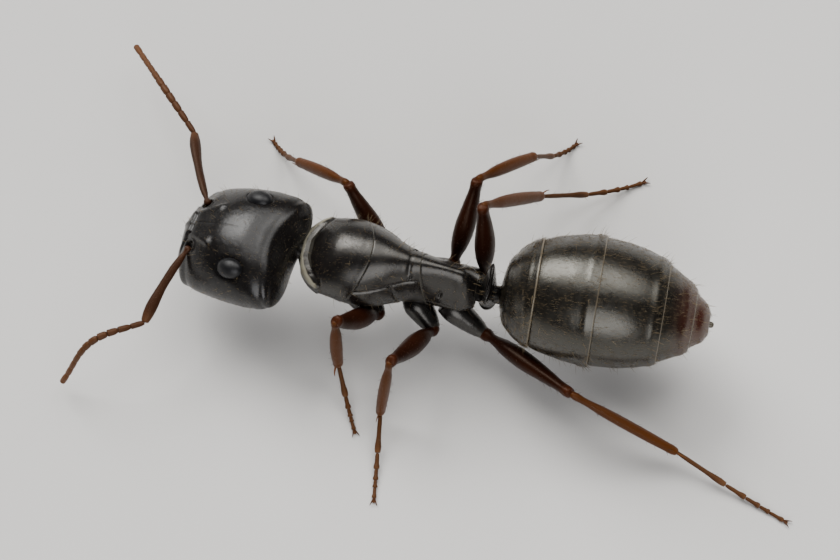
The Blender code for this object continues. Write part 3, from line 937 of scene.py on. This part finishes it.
def add_petiole():
    """The upright scale between trunk and gaster, with the stalks that join it to both."""
    up, angle = lattice(eased(90, 0.8, PETIOLE[0][0], PETIOLE[-1][0]), turns(80))
    half, front, back = read_curve(PETIOLE, up)
    closing = end_rounding(up, 0.06, 0.02)
    across = np.sin(angle)
    x = half * closing * across
    y = (front + back) / 2 - (back - front) / 2 * closing * np.cos(angle)
    grid = np.stack((x, y, up - 0.1 * across**2 * smooth((up - 2.3) / 0.4)), -1)
    stalk = ((0, 0.2, 0.22), (0.5, 0.19, 0.21), (1, 0.24, 0.24))
    ends = (((0, 0.98, 1.74), (0, 1.32, 1.76)), ((0, 1.45, 1.78), (0, 1.8, 1.86)))
    stalks = [limb_shell(*pair, stalk, SIDEWAYS, rows=24, columns=40) for pair in ends]
    add_piece("petiole_scale", placed(joined([closed_shell(grid), *stalks]), ant), "chitin", ["petiole"])
    skins["petiole"] = [Skin(ant.place(grid))]


GASTER_PLATES = len(TERGITE_ENDS) - 1
PLEURAL_ANGLE = 1.86  # from the gaster's top down to a tergite's side edge
STERNITE_ANGLE = np.pi - PLEURAL_ANGLE + 0.1  # from the gaster's underside up to a sternite's side edge
MARGIN_TONE, RED_TONE, RED_FROM = 0.65, 0.9, 5.4  # pale hind edges, and the redder tip


def gaster_surface(along, angle):
    return body_surface(GASTER_FORM, GASTER_WIDEST, along, angle)


def segment_relief(start, end, sunk):
    """A plate a little fuller towards its hind edge, with a low swelling just before it."""
    def relief(p):
        fuller = 0.03 * smooth((p[..., 1] - start) / (end - start))
        return fuller - 0.012 + 0.022 * bell((p[..., 1] - end + 0.15) / 0.09) - sunk

    return relief


def add_gaster():
    skins["gaster"] = []
    kinds = (
        ("tergite", np.linspace(-PLEURAL_ANGLE, PLEURAL_ANGLE, 150), 0),
        ("sternite", np.linspace(-STERNITE_ANGLE, STERNITE_ANGLE, 110) + np.pi, 0.045),
    )
    for number, (start, end) in enumerate(zip(TERGITE_ENDS, TERGITE_ENDS[1:]), 1):
        tip = number == GASTER_PLATES
        rows = 34 + round(40 * (end - start))
        lap = GASTER_LAP._replace(overlap=0.02) if number == 1 else GASTER_LAP
        for kind, angles, sunk in kinds:
            last = end + (0 if tip else 0.05) * np.cos(angles)
            relief = segment_relief(start, end, sunk)
            outer, inner, to_end = plate(gaster_surface, start, last, angles, False, rows, relief, lap)
            margin = 0 if tip else MARGIN_TONE * smooth(1 - (to_end - 0.006) / 0.032)
            redder = RED_TONE * smooth((outer[..., 1] - RED_FROM) / 0.75)
            shell = plate_shell(outer, inner, False, margin - redder * (margin < 0.1))
            replaced = [f"gaster_segment_{number}"] if kind == "tergite" else []
            add_piece(f"{kind}_{number}", placed(shell, gaster), "gaster", replaced)
            skins["gaster"].append(Skin(gaster.place(outer), False))
    core = np.add((GASTER_FRONT, TERGITE_ENDS[-1]), 0.03)
    core = gaster_surface(*lattice(eased(80, 0.9, *core), turns(70)))
    core = rounded_ends(drawn_in(core, 0.925), 0.1)
    nozzle = ((0, 0.1), (0.6, 0.075), (0.9, 0.06), (1, 0.04))
    nozzle = limb_shell((0, 6.2, 1.98), (0, 6.47, 1.93), nozzle, SIDEWAYS, tone=0.3, rows=30)
    add_piece("gaster_core", placed(joined([closed_shell(core), nozzle]), gaster), "gaster")


# ---- legs ----

COXA = (
    (0.00, 0.26, 0.26),
    (0.20, 0.33, 0.31),
    (0.55, 0.29, 0.27),
    (0.85, 0.21, 0.20),
    (1.00, 0.15, 0.14),
)
FEMUR = (  # the trochanter is the short bead at its root
    (0.000, 0.105, 0.100),
    (0.035, 0.150, 0.140),
    (0.085, 0.165, 0.150),
    (0.125, 0.125, 0.110),
    (0.150, 0.130, 0.115),
    (0.260, 0.210, 0.175),
    (0.450, 0.265, 0.215),
    (0.700, 0.215, 0.170),
    (0.900, 0.150, 0.125),
    (0.965, 0.150, 0.130),
    (1.000, 0.120, 0.110),
)
TIBIA = (
    (0.00, 0.070, 0.070),
    (0.05, 0.100, 0.090),
    (0.12, 0.092, 0.080),
    (0.30, 0.140, 0.110),
    (0.60, 0.158, 0.122),
    (0.88, 0.130, 0.108),
    (0.97, 0.112, 0.098),
    (1.00, 0.080, 0.076),
)
TARSOMERES = (0.46, 0.19, 0.13, 0.09, 0.13)  # the joints' relative lengths
TARSOMERE = ((0, 0.6, 0.58), (0.12, 0.74, 0.7), (0.6, 0.82, 0.8), (0.93, 1.0, 1.04), (1, 0.8, 0.86))
TARSUS_RADIUS = 0.068


def tarsus_line(ankle, toe):
    """Down from the ankle, levelling out so that the last joints lie on the floor."""
    share = np.linspace(0, 1, LINE_POINTS)
    line = ankle + (toe - ankle) * share[:, None]
    rest = TARSUS_RADIUS * 0.62
    line[:, 2] = rest + (ankle[2] - rest) * (1 - share) ** 1.7
    return line


CLAW_LENGTH, CLAW_SPREAD, CLAW_RADIUS, CLAW_TIP = 0.20, 0.45, 0.022, 0.003
PAD_LENGTH, PAD_HEIGHT = 0.11, 0.024
PAD = ((0, 0.018, 0.020), (0.6, 0.022, 0.045), (1, 0.010, 0.020))


def claw_shells(toe, ahead, side):
    """A pair of hooked claws with a pad between them."""
    shells = []
    share = np.linspace(0, 1, 16)
    for sign in (1, -1):
        way = unit(ahead + sign * CLAW_SPREAD * side)
        path = toe + way * (CLAW_LENGTH * np.sin(share * 1.5))[:, None]
        path[:, 2] = toe[2] + 0.035 * np.sin(share * 2.2) - (toe[2] - 0.012) * share**2
        radius = CLAW_RADIUS * (1 - share) + CLAW_TIP
        shells.append(closed_shell(tube(path, radius, radius, UPWARDS, 10), -1))
    end = toe + ahead * PAD_LENGTH
    end[2] = PAD_HEIGHT
    return shells + [limb_shell(toe, end, PAD, side, tone=0.6, rows=16, columns=14)]


def foot_shells(ankle, toe):
    line = tarsus_line(ankle, toe)
    side = unit(np.cross(toe - ankle, UPWARDS))
    shells, parts = [], []
    for number, (start, end) in enumerate(stretches(line, TARSOMERES)):
        radius = TARSUS_RADIUS * (1 - 0.06 * number)
        profile = [(at, deep * radius, wide * radius) for at, deep, wide in TARSOMERE]
        grid, share = limb(start, end, profile, side, rows=30, columns=18)
        shells.append(closed_shell(grid, 0.5 * smooth((share - 0.8) / 0.2)[:, None]))
        parts.append(Skin(grid))
    ahead = unit((line[-1] - line[-12]) * (1, 1, 0))
    return shells + claw_shells(line[-1], ahead, unit(side * (1, 1, 0))), parts


def add_leg(pair, name):
    prefix = f"leg_{pair}_{name}_"
    nodes = [prefix + part for part in ("coxa", "femur", "tibia", "tarsus")]
    root = meeting_point(nodes[0], "pronotum", "mesothorax", "propodeum", reach=0.16)
    hip, knee, ankle = meeting_points(nodes)
    toe = far_end(nodes[3], ankle)
    plane = unit(np.cross(knee - hip, ankle - knee))
    to_root, to_knee, to_ankle = unit(root - hip), unit(knee - hip), unit(ankle - knee)

    coxa, share = limb(root + to_root * 0.18, hip - to_root * 0.04, COXA, plane, rows=50, columns=32)
    tone = 0.1 * smooth((share - 0.8) / 0.2)
    add_piece(prefix + "coxal_plate", closed_shell(coxa, tone[:, None]), "chitin", nodes[:1])

    femur = (hip - to_knee * 0.1, knee + to_knee * 0.03, FEMUR, plane)
    femur, share = limb(*femur, bow=0.05, rows=110, columns=32)
    redder = 0.6 * smooth((0.12 - share) / 0.08) + 0.8 * smooth((share - 0.88) / 0.1)
    add_piece(prefix + "thigh", closed_shell(femur, -redder[:, None]), "leg", nodes[1:2])

    tibia = (knee - to_ankle * 0.02, ankle + to_ankle * 0.03, TIBIA, plane)
    tibia, share = limb(*tibia, bow=-0.03, rows=90, columns=28)
    tone = 0.26 + 0.12 * smooth(share) + 0.15 * smooth((share - 0.9) / 0.1)
    spur = spur_shell(pair, ankle, to_ankle, plane, unit(toe - ankle))
    add_piece(prefix + "shank", joined([closed_shell(tibia, tone[:, None]), spur]), "leg", nodes[2:3])

    foot, parts = foot_shells(ankle, toe)
    foot = joined(foot)
    foot.points[:, 2] = np.maximum(foot.points[:, 2], 0)
    add_piece(prefix + "foot", foot, "foot", nodes[3:])
    skins[f"leg_{pair}_{name}"] = [Skin(coxa), Skin(femur), Skin(tibia)] + parts


SPUR_SIZES = {"fore": (0.36, 0.032), "mid": (0.26, 0.020), "hind": (0.26, 0.020)}  # length, radius


def spur_shell(pair, ankle, downwards, plane, onwards):
    """The spur at the shank's end; the fore leg's is a broad curved comb."""
    length, radius = SPUR_SIZES[pair]
    share = np.linspace(0, 1, 16)[:, None]
    inner = unit(np.cross(plane, downwards))
    inner = inner if inner @ onwards > 0 else -inner
    path = ankle + inner * 0.09 + downwards * (length * share) + inner * (0.1 * share * (1.4 - share))
    path[:, 2] = np.maximum(path[:, 2], 0.02)
    thin = radius * (1 - share[:, 0]) ** 0.7 + 0.002
    return closed_shell(tube(path, thin, thin * 0.7, plane, 10), 0.8)


# ---- hairs ----

PATCH = 0.003  # width of a hair's patch on its skin's unwrap
JITTER = 0.22  # how much a hair's way strays from its neighbours'
LEAST_RISE = 0.10  # the least that a hair's way leaves its skin
FLOOR_GAP = 0.001  # the lowest that a hair reaches


def scatter(rng, skin, count, weight):
    """Random places on a skin: points, normals, the way back along it, and shares across and along it."""
    grid, normals = skin.grid, grid_normals(skin.grid, skin.wrapped)
    if skin.wrapped:
        grid, normals = (np.concatenate((part, part[:, :1]), axis=1) for part in (grid, normals))
    a, b, c, d = grid[:-1, :-1], grid[1:, :-1], grid[:-1, 1:], grid[1:, 1:]
    chance = np.linalg.norm(np.cross(b - a, c - a), axis=2) * weight((a + d) / 2, normals[:-1, :-1])
    cell = rng.choice(chance.size, count, p=chance.ravel() / chance.sum())
    row, column = np.divmod(cell, chance.shape[1])
    v, u = rng.random((2, count))
    v1, u1 = v[:, None], u[:, None]
    near = a[row, column] * (1 - u1) + c[row, column] * u1
    far = b[row, column] * (1 - u1) + d[row, column] * u1
    share = np.stack(((column + u) / chance.shape[1], (row + v) / chance.shape[0]), -1)
    return near * (1 - v1) + far * v1, normals[row, column], unit(far - near), share


def hair_shell(rng, roots, ways, lengths, thickness, droop, segments):
    """Tapering three-sided hairs, as one shell, with each corner's offset on the hair's patch."""
    count = len(roots)
    aside = unit(np.cross(ways, unit(rng.normal(size=(count, 3)))))
    other = np.cross(ways, aside)
    levels = np.arange(segments) / segments
    angles = np.arange(3) * 2 * np.pi / 3
    t = levels[:, None, None]
    # One axis each for hairs, levels, corners and coordinates.
    roots, ways, droop, aside, other = (part[:, None, None] for part in (roots, ways, droop, aside, other))
    lengths = lengths[:, None, None, None]
    round_ = aside * np.cos(angles)[:, None] + other * np.sin(angles)[:, None]
    rings = roots + lengths * (ways * t + droop * t**2) + round_ * thickness * (1 - 0.75 * t)
    tips = (roots + lengths * (ways + droop))[:, 0]
    points = np.concatenate((rings.reshape(count, -1, 3), tips), axis=1)
    size = points.shape[1]
    quads = grid_quads(np.arange(3 * segments).reshape(segments, 3))
    top = 3 * (segments - 1)
    triangles = [(top + k, top + (k + 1) % 3, size - 1) for k in range(3)] + [(2, 1, 0)]
    starts = (np.arange(count) * size)[:, None, None]
    quads = (quads[None] + starts).reshape(-1, 4)
    triangles = (np.array(triangles)[None] + starts).reshape(-1, 3)
    spread = np.concatenate(((1 - 0.8 * levels).repeat(3), (0,)))
    around = np.concatenate((np.tile(angles, segments), (0,)))
    patch = PATCH / 2 * np.stack((spread * np.cos(around), spread * np.sin(around)), -1)
    return Shell(points.reshape(-1, 3), quads, triangles, np.zeros(points.shape[0] * size)), patch


Coat = namedtuple("Coat", "count length thickness stand weight segments")


def even(points, normals):
    """Weighs all of a skin alike, where the other weights favour some of it."""
    return 1


def add_coat(name, rng, *coats, forward=False, finish="hair"):
    """The hairs on a body part's skins, as one piece. Each skin takes a strip of the unwrap."""
    parts = skins[name]
    shells, places = [], []
    areas = [np.linalg.norm(np.ptp(skin.grid.reshape(-1, 3), axis=0)) ** 2 for skin in parts]
    for coat in coats:
        for number, (skin, area) in enumerate(zip(parts, areas)):
            count = round(coat.count * area / sum(areas))
            if count == 0:
                continue
            roots, normals, back, share = scatter(rng, skin, count, coat.weight)
            back = -back if forward else back
            jitter = rng.normal(scale=JITTER, size=roots.shape)
            ways = unit(normals * coat.stand + back * (1 - coat.stand) + jitter * (0.35 + coat.stand))
            rise = np.sum(ways * normals, axis=1, keepdims=True)
            ways = unit(ways + normals * np.maximum(LEAST_RISE - rise, 0))
            lengths = coat.length * rng.uniform(0.65, 1.25, count)
            droop = (back * 0.25 - normals * 0.06) * rng.uniform(0.4, 1.2, count)[:, None] * coat.stand
            roots = roots - normals * coat.thickness
            shell, patch = hair_shell(rng, roots, ways, lengths, coat.thickness, droop, coat.segments)
            shells.append(shell)
            u = (number + 0.05 + 0.9 * share[:, 0]) / len(parts)
            v = 0.01 + 0.98 * share[:, 1]
            places.append((np.stack((u, v), -1)[:, None] + patch[None]).reshape(-1, 2))
    whole = joined(shells)
    whole.points[:, 2] = np.maximum(whole.points[:, 2], FLOOR_GAP)
    piece = add_piece("hairs_" + name, whole, finish)
    corners = np.empty(len(piece.data.loops), int)
    piece.data.loops.foreach_get("vertex_index", corners)
    layer = piece.data.uv_layers.new(name="OFBake")
    layer.uv.foreach_set("vector", np.concatenate(places)[corners].astype(np.float32).ravel())


def add_hairs():
    rng = np.random.default_rng(SEED)
    facing = head.axes[2]

    def on_face(points, normals):
        return smooth((normals @ facing + 0.3) / 0.6) + 0.25

    def near_margins(points, normals):
        y = gaster.read(points)[..., 1]
        rows = [bell((y - end + 0.12) / 0.1) for end in TERGITE_ENDS[1:]]
        return 0.12 + sum(rows)

    def upper(points, normals):
        return smooth(normals[..., 2] + 0.7)

    hair, down = Coat(110, 0.16, 0.0048, 0.85, on_face, 4), Coat(2600, 0.055, 0.0022, 0.1, even, 2)
    add_coat("head", rng, hair, down, forward=True)
    hair, down = Coat(110, 0.22, 0.005, 0.85, upper, 4), Coat(2600, 0.075, 0.0022, 0.1, even, 2)
    add_coat("trunk", rng, hair, down)
    add_coat("petiole", rng, Coat(26, 0.16, 0.0048, 0.85, upper, 4))
    hair, down = Coat(420, 0.23, 0.005, 0.7, near_margins, 4), Coat(9000, 0.12, 0.0024, 0.09, even, 2)
    add_coat("gaster", rng, hair, down)
    antenna = Coat(900, 0.04, 0.002, 0.25, even, 2)
    leg = (Coat(620, 0.07, 0.0023, 0.22, even, 2), Coat(70, 0.12, 0.0046, 0.45, even, 3))
    for name, _ in SIDES:
        add_coat("antenna_" + name, rng, antenna, finish="leg_hair")
        for pair in PAIRS:
            add_coat(f"leg_{pair}_{name}", rng, *leg, finish="leg_hair")


# ---- floor, lights and camera ----


def camera_axes():
    """The picture's right and up, and the way from the ant to the camera."""
    a, e = CAMERA_AZIMUTH, CAMERA_HEIGHT
    right = np.array((math.cos(a), math.sin(a), 0))
    away = np.array((math.sin(a) * math.cos(e), -math.cos(a) * math.cos(e), math.sin(e)))
    return np.array((right, np.cross(away, right), away))


def add_floor():
    bpy.ops.mesh.primitive_plane_add(size=FLOOR_SIZE)
    floor = bpy.context.object
    floor.name = "floor"
    floor.data.materials.append(dull_material("floor", 6, FLOOR_COLOURS, 0.9, 0.1))


def add_lights():
    """Broad far lights over a dim room. Behind the floor's far edge lies a backdrop of its own tone."""
    for name, way, strength, width, colour in SUNS:
        light = bpy.data.lights.new(name, "SUN")
        light.energy, light.angle, light.color = strength, math.radians(width), colour
        lamp = add_object(name, light)
        lamp.location = Vector(way).normalized() * LAMP_DISTANCE
        lamp.rotation_euler = Vector(way).to_track_quat("Z", "Y").to_euler()
    world = bpy.data.worlds.new("studio")
    world.use_nodes = True
    tree = world.node_tree
    seen = add_node(tree, "ShaderNodeLightPath").outputs["Is Camera Ray"]
    fill(tree, tree.nodes["Background"], {"Color": mixed(tree, seen, ROOM_LIGHT, BACKDROP)})
    bpy.context.scene.world = world


def add_camera():
    """Looks from the photographed direction at the middle of the ant, which fills most of the width."""
    axes = camera_axes()
    seen = cad_points(*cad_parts) * MM @ axes.T
    width = np.ptp(seen[:, 0])
    lens = bpy.data.cameras.new("camera")
    lens.sensor_width, lens.lens = SENSOR, CAMERA_LENS
    lens.clip_start, lens.clip_end = 0.01, 5
    camera = add_object("camera", lens)
    camera.location = box_middle(seen) @ axes + axes[2] * (width / ANT_SHARE * CAMERA_LENS / SENSOR)
    camera.rotation_euler = Matrix(axes.T).to_euler()
    bpy.context.scene.camera = camera


materials = {name: shell_material(name, finish) for name, finish in FINISHES.items()}
for hair_name, hair_colours in HAIR_COLOURS.items():
    materials[hair_name] = dull_material("ant_" + hair_name, 0.4, hair_colours, 0.45, 0.3)
skins = {}
ant = ant_frame()
gaster = gaster_frame()
head = head_frame()
add_camera()
add_head()
add_trunk()
add_petiole()
add_gaster()
for side_name, side_sign in SIDES:
    add_antenna(side_name, side_sign)
    for leg_pair in PAIRS:
        add_leg(leg_pair, side_name)
add_hairs()
add_floor()
add_lights()
